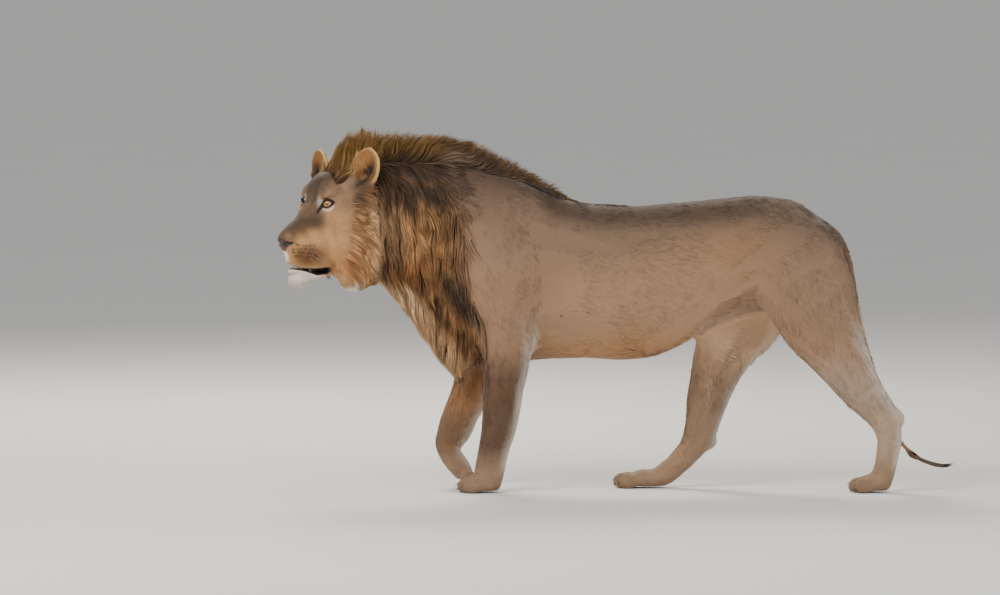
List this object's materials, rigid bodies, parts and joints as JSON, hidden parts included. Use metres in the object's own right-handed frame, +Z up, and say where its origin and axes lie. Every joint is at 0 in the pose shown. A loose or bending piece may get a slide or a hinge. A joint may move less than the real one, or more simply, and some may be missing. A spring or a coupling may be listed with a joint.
{
  "type": "lion figure",
  "caption": "Life-size standing figure of a young male lion in mid-stride, head turned to its left, short dark mane and low trailing tail.",
  "frame": {"origin": "on the floor, under the middle of the whole animal's bounding box", "axes": "+Z up, the body lies along X with the nose towards -X, +Y towards the lion's right side"},
  "size_m": [2.2574, 0.4848, 1.1887],
  "materials": {
    "coat": "short tawny fur, greyer along the back",
    "mane": "long hair, tan to near black, with a golden crest",
    "nose_leather": "dark moist skin",
    "eye": "amber, wet gloss"
  },
  "bodies": {
    "root": {"head": "coat", "lower_jaw": "coat", "nose": "nose_leather", "ear_left": "coat", "ear_right": "coat", "eye_left": "eye", "eye_right": "eye", "neck": "mane", "trunk": "coat", "foreleg_left": "coat", "foreleg_right": "coat", "forepaw_left": "coat", "forepaw_right": "coat", "hindleg_left": "coat", "hindleg_right": "coat", "hindpaw_left": "coat", "hindpaw_right": "coat", "tail": "coat", "tail_tuft": "mane"}
  },
  "joints": []
}
